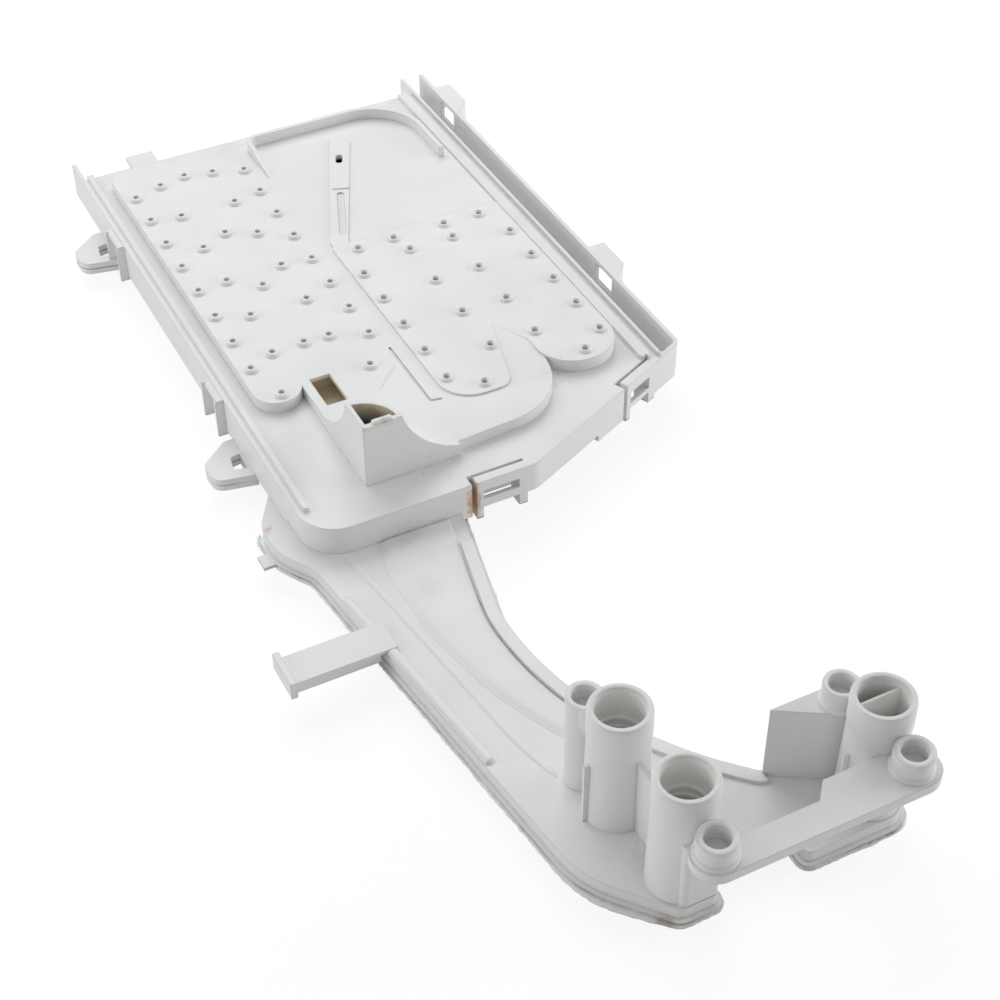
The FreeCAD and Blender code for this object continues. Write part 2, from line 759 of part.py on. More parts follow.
# Open hoods on the right wall: a shelf over a window, with a wall across each end
hood_projection = dimension("hood_projection", 8.5)
hood_length = 20
hood_slant = 10.4
hood_depth = 13
hood_wall = rib_width * 1.3
for name, back_y in (("Back", plate_length), ("Front", wrap(132))):
    outer = half_width + hood_projection
    root = half_width - wall / 2
    front_y = back_y - hood_length
    side_parts.append(padded(f"{name}HoodShelf", [
        (root, front_y - hood_slant, 0),
        (outer, front_y, 0),
        (outer, back_y, 0),
        (root, back_y, 0),
    ], z_floor - wall, wall))
    side_parts.append(padded(f"{name}HoodFront", [
        (root, front_y - hood_slant, 0),
        (outer, front_y, 0),
        (outer, front_y + hood_wall, 0),
        (root, front_y - hood_slant + hood_wall, 0),
    ], z_floor - hood_depth, hood_depth))
    side_parts.append(slab(f"{name}HoodBack", root, outer, back_y - rib_width, back_y,
                           z_floor - hood_depth, z_floor))
    removed.append(slab(f"{name}HoodWindow", half_width - wall * 1.5, half_width + rib_width,
                        front_y - 7, front_y + 9, z_floor - channel_depth + 1, z_floor - wall))

# Water arm: a flat duct from under the plate's front to the sockets
arm_neck_x = -46.9
arm_neck_y = -62.6
arm_bend_y = arm_front + 89
arm_bend_radius = smaller(148, (arm_neck_y - arm_bend_y - 8) * 2.47)
branch_back = arm_front + 39.5
arm_back = 30.5
arm = padded("Arm", [
    (-113.5, arm_back, 3),
    (-113.7, 14.3, 28),
    (-103, -3, 20),
    (-80.8, arm_front + 28.9, 45),
    (-56.5, arm_front, 4),
    (-40.5, arm_front, 3),
    (-40.5, arm_front + 16.5, 2),
    (-4, arm_front + 16.5, 2),
    (-4, arm_front, 3),
    (40.5, arm_front, 9),
    (44, branch_back, 12),
    (1.5, branch_back, 4),
    (arm_neck_x, arm_bend_y, arm_bend_radius),
    (arm_neck_x, arm_neck_y, 60),
    (-31, 11, 0),
    (-31, arm_back, 0),
], z_seam, arm_side_height)
arm_panel = padded("ArmPanel", [
    (-76, -18, 0),
    (-75.5, -60, 60),
    (-67.5, -100, 60),
    (-56, -127, 0),
    (-47, -140, 0),
    (-37, arm_front + 62, 0),
    (-27, arm_front + 76, 0),
    (-44, -106, 30),
    (-53, -74, 30),
    (-50.5, -50, 0),
    (-45, -24, 0),
], z_arm - 0.7, wall)
panelled_arm = cut("PanelledArm", arm, arm_panel)
ear_tail = padded("EarTail", [
    (-112.9, arm_back - 1, 0),
    (-111.2, arm_back + 6.5, 4),
    (-half_width + wall, arm_back + 25.5, 0),
    (-half_width + wall, arm_back - 1, 0),
], z_seam, arm_side_height - 3)
ear_tab = slab("EarTab", -119.8, -112, 13, 20.8, z_seam, z_seam + flange_thickness)

# Weld trays: well behind the plate's lifted front edge, with the arm's duct running into them
weld_left = -half_width + weld_inset + 0.5
weld_right = channel_left - 6
tray_back = plate_length - 6
tray_setback = 19
weld_tray = padded("WeldTray", [
    (weld_left, 5.5, 14),
    (-38, 5.5, 5),
    (-32, tray_setback, 5),
    (bend_from_centre + 1, tray_setback, 10),
    (weld_right, front_at(weld_right) + tray_setback, 8),
    (weld_right, tray_back, 8),
    (weld_left, tray_back, 8),
], z_seam, z_under_floor - z_seam)
arm_hollow = inset_twin("ArmHollow", arm, z_seam, arm_side_height - wall)
tray_hollow = inset_twin("TrayHollow", weld_tray, z_seam, z_under_floor - z_seam)
arm_flange = shrunk("ArmFlange", arm, flange_width, z_seam, flange_thickness)
tray_flange = shrunk("TrayFlange", weld_tray, flange_width, z_seam, flange_thickness)
plate_parts += [*cheeks, panelled_arm, weld_tray, arm_flange, tray_flange, ear_tail, ear_tab]
removed += [arm_hollow, tray_hollow]

# Broad raised rim along the arm's inner edge, and a bead along its outer edge
rim_width = dimension("rim_width", 5.5)
rim_height = dimension("rim_height", 1.4)
arm_outline = doc.getObject("ArmOutline")
rim_block = extruded("RimBlock", arm, arm_outline, z_arm - wall / 2, rim_height + wall / 2)
rim_inside = shrunk("RimInside", arm, -rim_width, z_arm - wall, rim_height + wall * 2)
rim_start = -17
rim_region = padded("RimRegion", [
    (-60, rim_start, 0),
    (-60, -112, 0),
    (-44, arm_front + 69.5, 0),
    (-10, arm_front + 29.5, 0),
    (2, arm_front + 29.5, 0),
    (2, arm_front + 43.5, 0),
    (-8, arm_front + 59.5, 0),
    (-30, -100, 0),
    (-26, rim_start, 0),
], z_arm - wall / 2, rim_height + wall / 2)
rim = common("Rim", [cut("RimBand", rim_block, rim_inside), rim_region])
bead_height = 1.5
arm_bead = padded("ArmBead", strip_corners((-98.8, -25), (-85.3, -129), 3.6, 1.7),
                  z_arm - wall / 2, bead_height + wall / 2)
arm_parts = [rim, arm_bead]

# Lever strip across the arm's root, its inner end standing clear and its free end with an upright lip
lever_width = dimension("lever_width", 15.8)
lever_tip = -137.2
lever_front = -60.5
lever_root = -99
lever_clearance = 0.8
lip_overhang = 1.6
lever = slab("Lever", lever_tip, lever_root, lever_front, lever_front + lever_width, z_arm - 3.2, z_arm + 2)
lever_end = slab("LeverEnd", lever_root, -91.3, lever_front, lever_front + lever_width,
                 z_arm + lever_clearance, z_arm + 2)
lever_lip = slab("LeverLip", lever_tip - 1, lever_tip + 1.8, lever_front - lip_overhang,
                 lever_front + lever_width + lip_overhang, z_arm - 4, z_arm + 4)
arm_parts += [lever, lever_end, lever_lip]

# Hose sockets, the first two joined by a web
socket_radius = dimension("socket_radius", 11.5)
socket_draft = dimension("socket_draft", 1)
socket_bore_radius = dimension("socket_bore_radius", 9.5)
first_socket = (-54.2, arm_front + 50.7)
second_socket = (-49.8, arm_front + 13.1)
third_socket = (30.3, arm_front + 12.9)
for number, (x, y) in enumerate((first_socket, second_socket, third_socket)):
    arm_parts.append(cone(f"Socket{number + 1}", x, y, z_arm - wall / 2, socket_radius + socket_draft,
                          socket_radius, socket_rise + wall / 2))
    removed.append(cylinder(f"SocketBore{number + 1}", x, y, z_arm - wall * 2, socket_bore_radius,
                            socket_rise + wall * 3))
arm_parts.append(slab("SocketWeb", -52.5 - rib_width / 2, -52.5 + rib_width / 2,
                      second_socket[1], first_socket[1], z_arm - wall / 2, z_bracket))
for number, (x, y) in enumerate((first_socket, third_socket)):
    arm_parts.append(slab(f"SocketFin{number + 1}", x - socket_radius - 2.4, x - socket_radius + 1.5,
                          y - rib_width / 2, y + rib_width / 2, z_arm - wall / 2, z_bracket - 6))

# Bracket: a bar between two screw bosses, on a tower and a wedge that rise from the arm
boss_radius = dimension("boss_radius", 7.5)
boss_bore_radius = dimension("boss_bore_radius", 5)
boss_bore_depth = dimension("boss_bore_depth", 7)
bar_thickness = dimension("bar_thickness", 4.4)
left_boss = (-49.8, arm_front - 7.2)
right_boss = (30.5, arm_front - 6.8)
bar_end_radius = boss_radius + 1.7
bar_front = left_boss[1] - bar_end_radius
bar_back = arm_front + 3
bar_round = bar_end_radius - 0.1
bar_right = right_boss[0] + bar_end_radius + 1.8
bar_narrow = arm_front - 4.2
bar = padded("Bar", [
    (left_boss[0] - bar_end_radius, bar_front, bar_round),
    (bar_right, bar_front, bar_round),
    (bar_right, bar_back, 8),
    (0, bar_back, 1),
    (-6, bar_narrow, 1),
    (-40.5, bar_narrow, 1),
    (-43, left_boss[1] + bar_end_radius, 2),
    (left_boss[0] - bar_end_radius, left_boss[1] + bar_end_radius, bar_round),
], z_bracket - bar_thickness, bar_thickness)
tower = padded("Tower", [
    (-57, arm_front + 11.5, 0),
    (-56.2, arm_front + 0.3, 2.5),
    (-40.8, arm_front + 0.3, 2),
    (-40.8, arm_front + 13.5, 0),
], z_arm - wall / 2, bracket_rise - bar_thickness / 2)
wedge_back = branch_back - 0.9
wedge = padded("WedgeBlock", [
    (1, wedge_back, 0.2),
    (20, wedge_back - 11.8, 20),
    (30, wedge_back - 15.1, 0),
    (30, wedge_back, 0),
], z_arm - wall / 2, bracket_rise + wall / 2)
bracket_parts = [bar, tower, wedge]
boss_places = {
    "LeftBoss": (left_boss[0], left_boss[1], z_bracket, 0),
    "RightBoss": (right_boss[0], right_boss[1], z_bracket, 0),
    "WedgeBoss": (26.3, arm_front + 31.2, z_bracket, 0.6),
    "ArmBoss": (-58.2, arm_front + 68.5, z_arm, 0.4),
}
bosses = []
boss_bores = []
for name, (x, y, foot, slimmer) in boss_places.items():
    radius = boss_radius - slimmer
    bosses.append(cylinder(name, x, y, foot - wall / 2, radius, z_boss - foot + wall / 2))
    boss_bores.append(cylinder(f"{name}Bore", x, y, z_boss - boss_bore_depth, boss_bore_radius,
                               boss_bore_depth + wall))
removed += boss_bores

# Nozzle cover: everything above the seam, then the partition across the third socket
solid_cover = cut("PlateShell", plate, under_plate)
stages = {
    "WithTrays": plate_parts,
    "WithChambers": roof_parts,
    "WithNozzles": nozzles,
    "WithSides": side_parts,
    "WithSockets": arm_parts,
    "WithBracket": bracket_parts,
    "WithBosses": bosses,
}
for name, parts in stages.items():
    solid_cover = fused(name, [solid_cover, *parts])
hollows = fused("Hollows", removed)
open_cover = cut("OpenCover", solid_cover, hollows)
partition_thickness = 1.2
partition_drop = 3
partition = slab("Partition", third_socket[0] - socket_bore_radius - 0.5,
                 third_socket[0] + socket_bore_radius + 0.5,
                 third_socket[1] + 2, third_socket[1] + 2 + partition_thickness,
                 z_arm - wall, z_socket - partition_drop)
cover = fused("NozzleCover", [open_cover, partition])

# Backing shell: the shallow tray that closes the water ways from below
lip_inset = 3
lower_parts = []
lower_hollows = []
for name, source in (("Arm", arm), ("Tray", weld_tray)):
    lower_parts.append(shrunk(f"{name}LowerFlange", source, flange_width,
                              z_seam - flange_thickness, flange_thickness))
    lower_parts.append(shrunk(f"{name}Tub", source, -lip_inset, 0, z_seam))
    lower_hollows.append(shrunk(f"{name}TubHollow", source, -lip_inset - wall, backing_thickness, z_seam))
backing_solid = fused("BackingSolid", lower_parts)
backing_hollow = fused("BackingHollow", lower_hollows)
backing = cut("BackingShell", backing_solid, backing_hollow)

# Finished pieces, moved so that the origin is under the middle of the plate
pieces = {"nozzle_cover": cover, "backing_shell": backing}
for node, thing in pieces.items():
    thing.Label = node
    bind(thing, "Placement.Base.y", -plate_length / 2)
doc.recompute()

for thing in doc.Objects:
    if "Invalid" in thing.State or "Error" in thing.State:
        raise RuntimeError(f"{thing.Label} failed to compute")
os.makedirs("parts", exist_ok=True)
for node, thing in pieces.items():
    if thing.Shape.isNull() or not thing.Shape.isValid():
        raise RuntimeError(f"{node} has no valid shape")
    if len(thing.Shape.Solids) != 1:
        raise RuntimeError(f"{node} is in {len(thing.Shape.Solids)} solids")
    thing.Shape.exportStep(f"parts/{node}.step")
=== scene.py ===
import math
import random

import bmesh
import bpy
from mathutils import Matrix, Vector


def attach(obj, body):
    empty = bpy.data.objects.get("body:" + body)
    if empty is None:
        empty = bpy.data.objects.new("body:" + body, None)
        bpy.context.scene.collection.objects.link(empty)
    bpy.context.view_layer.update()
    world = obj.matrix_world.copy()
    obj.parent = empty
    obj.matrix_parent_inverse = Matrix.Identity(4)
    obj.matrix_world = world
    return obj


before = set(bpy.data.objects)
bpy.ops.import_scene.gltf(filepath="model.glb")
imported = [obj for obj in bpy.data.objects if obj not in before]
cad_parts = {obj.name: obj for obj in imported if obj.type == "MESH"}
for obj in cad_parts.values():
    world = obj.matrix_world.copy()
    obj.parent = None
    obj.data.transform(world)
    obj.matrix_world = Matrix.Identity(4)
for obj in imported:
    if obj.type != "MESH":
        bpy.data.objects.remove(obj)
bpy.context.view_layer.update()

MM = 0.001
# Places are given in millimetres on the drawing, with Y = 0 at the plate's front rim
SHIFT = -153


def drawn(x, y, z):
    """A place on the drawing, moved to where the frame has it."""
    return (x, y + SHIFT, z)


def srgb(red, green, blue):
    """A colour given as screen values from 0 to 255."""
    parts = []
    for value in (red, green, blue):
        value /= 255
        parts.append(value / 12.92 if value <= 0.04045 else ((value + 0.055) / 1.055) ** 2.4)
    return (*parts, 1.0)


def smooth(part):
    """A share from 0 to 1, eased at both ends."""
    return part * part * (3 - 2 * part)


# Materials

class Shader:
    """One node material, built with short calls that return sockets."""

    def __init__(self, name):
        self.material = bpy.data.materials.new(name)
        self.material.use_nodes = True
        self.tree = self.material.node_tree
        self.surface = self.tree.nodes["Principled BSDF"]
        self.place = self.add("ShaderNodeTexCoord").outputs["Object"]
        self.noises = {}

    def add(self, kind, **settings):
        node = self.tree.nodes.new(kind)
        for key, value in settings.items():
            setattr(node, key, value)
        return node

    def put(self, socket, value):
        if isinstance(value, bpy.types.NodeSocket):
            self.tree.links.new(value, socket)
        else:
            socket.default_value = value

    def math(self, operation, a, b=0.0):
        node = self.add("ShaderNodeMath", operation=operation)
        self.put(node.inputs[0], a)
        self.put(node.inputs[1], b)
        return node.outputs[0]

    def noise(self, scale, detail=4.0, roughness=0.55, stretch=None):
        """Noise over the object; the same settings share one node."""
        kind = (scale, detail, roughness, stretch)
        if kind in self.noises:
            return self.noises[kind]
        node = self.add("ShaderNodeTexNoise")
        where = self.mapped(self.place, "Scale", stretch) if stretch else self.place
        self.put(node.inputs["Vector"], where)
        node.inputs["Scale"].default_value = scale
        node.inputs["Detail"].default_value = detail
        node.inputs["Roughness"].default_value = roughness
        self.noises[kind] = node.outputs[0]
        return node.outputs[0]

    def mapped(self, vector, setting, value):
        """A vector turned or stretched by one setting of a mapping."""
        mapping = self.add("ShaderNodeMapping")
        self.put(mapping.inputs["Vector"], vector)
        mapping.inputs[setting].default_value = value
        return mapping.outputs[0]

    def step(self, value, low, high, to_low=0.0, to_high=1.0):
        node = self.add("ShaderNodeMapRange", interpolation_type="SMOOTHSTEP")
        for socket, item in zip(node.inputs, (value, low, high, to_low, to_high)):
            self.put(socket, item)
        return node.outputs[0]

    def blend(self, factor, a, b):
        node = self.add("ShaderNodeMix", data_type="RGBA")
        self.put(node.inputs[0], factor)
        self.put(node.inputs[6], a)
        self.put(node.inputs[7], b)
        return node.outputs[2]

    def vector(self, operation, a, b=None):
        """A vector sum node; the caller takes the output that it needs."""
        node = self.add("ShaderNodeVectorMath", operation=operation)
        self.put(node.inputs[0], a)
        if b is not None:
            self.put(node.inputs[1], b)
        return node.outputs

    def offset(self, centre):
        """The way from a place given in millimetres to the shaded point, in metres."""
        return self.vector("SUBTRACT", self.place, [c * MM for c in centre])[0]

    def blob(self, centre, radius, softness=0.6, stretch=(1, 1, 1)):
        """1 inside a soft ragged spot round a place, 0 away from it."""
        scaled = self.vector("MULTIPLY", self.offset(centre), stretch)[0]
        length = self.vector("LENGTH", scaled)["Value"]
        ragged = self.math("MULTIPLY", self.math("SUBTRACT", self.noise(420, 3), 0.5), radius * MM * 1.2)
        distance = self.math("ADD", length, ragged)
        return self.step(distance, radius * MM * (1 - softness), radius * MM, 1.0, 0.0)

    def seam_dirt(self, level, strength):
        """Dirt in the weld seam, a thin uneven line at one height."""
        split = self.add("ShaderNodeSeparateXYZ")
        self.put(split.inputs[0], self.place)
        height = self.math("DIVIDE", split.outputs[2], MM)
        wander = self.math("MULTIPLY", self.math("SUBTRACT", self.noise(90, 3), 0.5), 0.7)
        away = self.math("ABSOLUTE", self.math("SUBTRACT", self.math("ADD", height, wander), level))
        band = self.step(away, 0.1, 0.42, 1.0, 0.0)
        patchy = self.step(self.noise(38, 4), 0.3, 0.55)
        return self.math("MULTIPLY", self.math("MULTIPLY", band, patchy), strength)

    def inside(self, centre, radius):
        """1 on the inner faces of a hollow round a place, 0 on its outer faces and away from it."""
        offset = self.offset(centre)
        distance = self.vector("LENGTH", offset)["Value"]
        near = self.step(distance, radius * MM * 0.9, radius * MM, 1.0, 0.0)
        level = self.vector("MULTIPLY", offset, (1, 1, 0))[0]
        normal = self.add("ShaderNodeNewGeometry").outputs["Normal"]
        facing = self.vector("DOT_PRODUCT", level, normal)["Value"]
        inner = self.step(facing, -2.5 * MM, -0.8 * MM, 1.0, 0.0)
        return self.math("MULTIPLY", near, inner)

    def scratch(self, centre, radius, angle):
        """Fine hair lines along one direction, fading out round a place."""
        turned = self.mapped(self.place, "Rotation", (0, 0, angle))
        lines = self.add("ShaderNodeTexNoise")
        self.put(lines.inputs["Vector"], self.mapped(turned, "Scale", (1, 0.05, 1)))
        lines.inputs["Scale"].default_value = 750
        lines.inputs["Detail"].default_value = 2
        thin = self.step(lines.outputs[0], 0.60, 0.68)
        gaps = self.step(self.noise(130, 3), 0.48, 0.62)
        return self.math("MULTIPLY", self.math("MULTIPLY", thin, gaps), self.blob(centre, radius, 0.9))


# The brownish grey for the corners is painted shade with some grime in it
SPECK, CORNER_SHADE_AND_GRIME, SEAM_DIRT, HAIR_LINE = (srgb(150, 140, 122), srgb(158, 148, 132), srgb(98, 82, 66),
                                      srgb(128, 122, 114))
CORNER_SHADE_REACH, EDGE_RADIUS, BUMP_DEPTH = 2.2, 0.6, 0.8
SEAM_DIRT_LEVEL, SEAM_DIRT_STRENGTH = 8.9, 0.85


def plastic(name, colour, shade, warmth, stains=(), hollows=(), scratches=()):
    """Satin moulded plastic: fine grain, soft cloudiness, painted shade with some grime in the corners, and
    old stains.
    """
    s = Shader(name)
    base = s.blend(s.step(s.noise(14, 3), 0.3, 0.7), colour, shade)
    streak = s.step(s.noise(60, 3, 0.6, stretch=(1, 0.35, 1)), 0.45, 0.75)
    base = s.blend(s.math("MULTIPLY", streak, 0.22), base, warmth)
    speck = s.step(s.noise(900, 2), 0.72, 0.8)
    base = s.blend(s.math("MULTIPLY", speck, 0.2), base, SPECK)
    # Painted shade with some grime: corners found by ambient occlusion are darkened towards a brownish grey
    # in noisy patches
    hidden = s.add("ShaderNodeAmbientOcclusion", samples=3)
    hidden.inputs["Distance"].default_value = CORNER_SHADE_REACH * MM
    corner = s.step(hidden.outputs["AO"], 0.2, 0.75, 1.0, 0.0)
    corner_shade_and_grime = s.math("MULTIPLY", corner, s.step(s.noise(240, 4), 0.4, 0.75))
    base = s.blend(s.math("MULTIPLY", corner_shade_and_grime, 0.3), base, CORNER_SHADE_AND_GRIME)
    base = s.blend(s.seam_dirt(SEAM_DIRT_LEVEL, SEAM_DIRT_STRENGTH), base, SEAM_DIRT)
    # Inner faces of hollows take two tones of their own: scale in the spout and window, painted light that
    # lifts the shaded socket bores
    for centre, radius, pale_scale_and_painted_light, scaled in hollows:
        tone = s.blend(s.step(s.noise(110, 4), 0.35, 0.7), pale_scale_and_painted_light, scaled)
        base = s.blend(s.inside(centre, radius), base, tone)
    for centre, radius, angle, strength in scratches:
        hair = s.math("MULTIPLY", s.scratch(centre, radius, angle), strength)
        base = s.blend(hair, base, HAIR_LINE)
    for centre, radius, softness, stretch, tint, strength in stains:
        spot = s.blob(centre, radius, softness, stretch)
        base = s.blend(s.math("MULTIPLY", spot, strength), base, tint)
    s.put(s.surface.inputs["Base Color"], base)
    s.put(s.surface.inputs["Roughness"], s.step(s.noise(38, 4), 0.3, 0.7, 0.34, 0.5))
    s.surface.inputs["Specular IOR Level"].default_value = 0.42
    bump = s.add("ShaderNodeBump")
    bump.inputs["Strength"].default_value = 0.16
    bump.inputs["Distance"].default_value = BUMP_DEPTH * MM
    grain = s.math("MULTIPLY", s.noise(1600, 2), 0.05)
    s.put(bump.inputs["Height"], s.math("ADD", grain, s.noise(28, 2)))
    soft_edge = s.add("ShaderNodeBevel", samples=3)
    soft_edge.inputs["Radius"].default_value = EDGE_RADIUS * MM
    s.put(bump.inputs["Normal"], soft_edge.outputs[0])
    s.put(s.surface.inputs["Normal"], bump.outputs[0])
    return s.material


RUST = srgb(210, 142, 84)
BROWN = srgb(120, 98, 74)
GREY = srgb(168, 164, 158)
# Centre, radius, softness, stretch, tint, strength
cover_stains = [
    (drawn(-27.6, 0.4, 20), 6.0, 0.7, (1.3, 1.0, 0.5), RUST, 0.75),
    (drawn(-27.6, 0, 14), 4.5, 0.9, (1.3, 1.0, 0.6), RUST, 0.5),
    (drawn(-111.5, 29, 14), 3.0, 0.7, (1, 1, 1), RUST, 0.55),
    (drawn(-58.5, 20.5, 62), 3.0, 0.9, (1, 1, 1), BROWN, 0.25),
    (drawn(-58, -199, 8.5), 4.0, 0.8, (1, 1, 1.6), BROWN, 0.55),
    (drawn(-62, -218, 8.5), 6.0, 0.8, (1, 1, 1.6), BROWN, 0.45),
    (drawn(35, 48, 29), 13.0, 0.9, (1, 1.6, 1), GREY, 0.2),
    (drawn(-60, -2, 15), 14.0, 0.9, (1, 1.6, 1), GREY, 0.18),
    (drawn(-66, -36, 15.6), 12.0, 0.9, (1.4, 1, 1), GREY, 0.14),
    (drawn(-55, -200, 15), 16.0, 0.9, (1.3, 1, 1), GREY, 0.2),
]
# Centre, radius, angle, strength
cover_scratches = [
    (drawn(-34, 20, 29), 17.0, 0.5, 0.4),
    (drawn(-30, 24, 34.5), 16.0, -0.6, 0.3),
    (drawn(38, 46, 29), 15.0, 0.2, 0.45),
    (drawn(-58, -3, 15), 15.0, -0.9, 0.4),
    (drawn(49, 104, 35.3), 13.0, 1.1, 0.3),
    (drawn(-60, -195, 15), 18.0, 0.7, 0.3),
]
SCALED = (srgb(240, 234, 222), srgb(222, 208, 186))
# Painted light: near-white tones that lift the shaded inner faces of the socket bores
PAINTED_BORE_LIGHT = (srgb(248, 247, 245), srgb(243, 241, 237))
# Spout, window and sockets: centre, radius and the two tones of the inner faces; scale tones in the spout and
# window, painted light in the socket bores
cover_hollows = [
    (drawn(-58.5, 30, 44), 23.0, *SCALED),
    (drawn(-59.1, 81.75, 28), 13.5, *SCALED),
    (drawn(-54.2, -168.8, 55), 17.0, *PAINTED_BORE_LIGHT),
    (drawn(-49.8, -206.4, 55), 17.0, *PAINTED_BORE_LIGHT),
    (drawn(30.3, -206.6, 60), 12.0, *PAINTED_BORE_LIGHT),
]
cover_plastic = plastic("CoverPlastic", srgb(233, 233, 232), srgb(228, 228, 227), srgb(231, 228, 221),
                        cover_stains, cover_hollows, cover_scratches)
backing_plastic = plastic("BackingPlastic", srgb(224, 223, 219), srgb(214, 213, 208), srgb(206, 198, 184))
scaled_plastic = plastic("ScaledPlastic", srgb(236, 228, 212), srgb(216, 200, 176), srgb(176, 154, 124))

for node, material in (("nozzle_cover", cover_plastic), ("backing_shell", backing_plastic)):
    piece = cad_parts[node]
    piece.data.materials.clear()
    piece.data.materials.append(material)


# Fine forms on the cover, built as closed meshes

SHARP_ANGLE = math.radians(38)


class Mesh:
    """Points and faces of one piece, in millimetres on the drawing."""

    def __init__(self):
        self.points = []
        self.faces = []

    def ring_stack(self, rings, closed_round=False):
        """Join rings of points into a tube; the ends are capped unless the stack closes on itself."""
        first = len(self.points)
        size = len(rings[0])
        for ring in rings:
            self.points.extend(ring)
        count = len(rings)
        spans = count if closed_round else count - 1
        for i in range(spans):
            low = first + i * size
            high = first + ((i + 1) % count) * size
            for j in range(size):
                k = (j + 1) % size
                self.faces.append((low + j, low + k, high + k, high + j))
        if not closed_round:
            self.faces.append(tuple(first + j for j in reversed(range(size))))
            self.faces.append(tuple(first + (count - 1) * size + j for j in range(size)))

    def lathe(self, centre, profile, segments):
        """Turn a closed profile of (radius, height) corners about an upright axis."""
        x, y = centre
        rings = []
        for i in range(segments):
            angle = 2 * math.pi * i / segments
            c, s = math.cos(angle), math.sin(angle)
            rings.append([(x + r * c, y + r * s, z) for r, z in profile])
        self.ring_stack(rings, closed_round=True)

    def dome_strip(self, path, half_width, height, level, root, power=2.5, sides=14, taper=None):
        """A strip with a rounded back along a line, its ends drawn in over a taper length."""
        normals = left_normals(path)
        run = distances(path)
        taper = half_width if taper is None else taper
        rings = []
        for point, normal, along in zip(path, normals, run):
            near_end = min(along, run[-1] - along)
            grow = min(1.0, max(near_end, 0.02) / taper)
            grow = max(math.sqrt(max(0.0, 1 - (1 - grow) ** 2)), 0.08)
            ring = []
            for k in range(sides + 1):
                angle = math.pi * k / sides
                c, s = math.cos(angle), math.sin(angle)
                across = half_width * grow * math.copysign(abs(c) ** (2 / power), c)
                up = height * grow * s ** (2 / power)
                ring.append((point.x + normal.x * across, point.y + normal.y * across, level + up))
            for across in (-half_width * grow, half_width * grow):
                ring.append((point.x + normal.x * across, point.y + normal.y * across, root))
            rings.append(ring)
        self.ring_stack(rings)

    def build(self, name, material):
        mesh = bpy.data.meshes.new(name)
        mesh.from_pydata([tuple(v * MM for v in drawn(*p)) for p in self.points], [], self.faces)
        work = bmesh.new()
        work.from_mesh(mesh)
        bmesh.ops.recalc_face_normals(work, faces=work.faces)
        work.to_mesh(mesh)
        work.free()
        mesh.shade_smooth()
        mesh.set_sharp_from_angle(angle=SHARP_ANGLE)
        mesh.materials.append(material)
        piece = bpy.data.objects.new(name, mesh)
        bpy.context.scene.collection.objects.link(piece)
        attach(piece, "root")


def rounded_path(corners, step=math.radians(5)):
    """Points along an open line of (x, y, radius) corners, each rounded by its radius."""
    places = [Vector((x, y)) for x, y, r in corners]
    path = [places[0]]
    for i in range(1, len(corners) - 1):
        corner = places[i]
        radius = corners[i][2]
        if not radius:
            path.append(corner)
            continue
        back = (places[i - 1] - corner).normalized()
        ahead = (places[i + 1] - corner).normalized()
        half = back.angle(ahead) / 2
        centre = corner + (back + ahead).normalized() * (radius / math.sin(half))
        start = corner + back * (radius / math.tan(half)) - centre
        turn = math.pi - 2 * half
        side = 1 if back.x * ahead.y - back.y * ahead.x < 0 else -1
        pieces = max(2, round(turn / step))
        for k in range(pieces + 1):
            angle = side * turn * k / pieces
            c, s = math.cos(angle), math.sin(angle)
            path.append(centre + Vector((start.x * c - start.y * s, start.x * s + start.y * c)))
    path.append(places[-1])
    return path


def distances(path):
    """How far along the line each of its points is."""
    run = [0.0]
    for a, b in zip(path, path[1:]):
        run.append(run[-1] + (b - a).length)
    return run


def resampled(path, step):
    """The same line with points at an even spacing."""
    lengths = distances(path)
    count = max(2, round(lengths[-1] / step))
    points = []
    i = 0
    for k in range(count + 1):
        goal = lengths[-1] * k / count
        while i < len(path) - 2 and lengths[i + 1] < goal:
            i += 1
        part = (goal - lengths[i]) / max(lengths[i + 1] - lengths[i], 1e-9)
        points.append(path[i].lerp(path[i + 1], part))
    return points


def stations(path, count):
    """A line cut into a given number of even spans."""
    return resampled(path, distances(path)[-1] / count)


def left_normals(path):
    """Unit vectors to the left of each point of a line."""
    normals = []
    for i in range(len(path)):
        run = (path[min(i + 1, len(path) - 1)] - path[max(i - 1, 0)]).normalized()
        normals.append(Vector((-run.y, run.x)))
    return normals


def shifted(path, distance):
    """The line moved to its left; a negative distance moves it to the right."""
    return [p + n * distance for p, n in zip(path, left_normals(path))]


# Heights of the moulding
SEAM, ARM_TOP, PAD, BRACKET, BOSS_TOP, SOCKET_TOP = 8.0, 15.0, 34.5, 51.0, 60.0, 69.0
PANEL_STEP = 0.8

# Spray nozzles: a soft-edged pip with a countersunk hole over each moulded nozzle
PAD_LEFT, PAD_RIGHT, PAD_BACK = -90.5, 75.2, 296.5
PIP = [(3.45, -0.3), (3.42, 0.3), (3.3, 0.8), (3.05, 1.2), (2.7, 1.48), (2.35, 1.6), (2.05, 1.56),
       (1.75, 1.3), (1.45, 0.75), (1.36, -1.4), (1.7, -1.5), (2.8, -0.6)]
PIP_SEGMENTS = 24
LEFT_PITCH = (PAD_BACK - 28.9 - 110.8) / 7
MIDDLE_PITCH = (PAD_BACK - 23.6 - 148.6) / 4
roof_pips = [(x, 110.8 + LEFT_PITCH * row) for row in range(8) for x in (PAD_LEFT + 6, -26.2)]
roof_pips += [(x, 148.6 + MIDDLE_PITCH * row) for row in range(5) for x in (PAD_LEFT + 20.9, -41.4)]
roof_pips += [(PAD_LEFT + 34.9, y) for y in (118.1, 168.3, 218, PAD_BACK - 20.3)]
roof_pips += [(PAD_LEFT + 19, 117.4), (-43.3, 117.6), (PAD_LEFT + 11.6, 88), (-35.5, 88.7)]
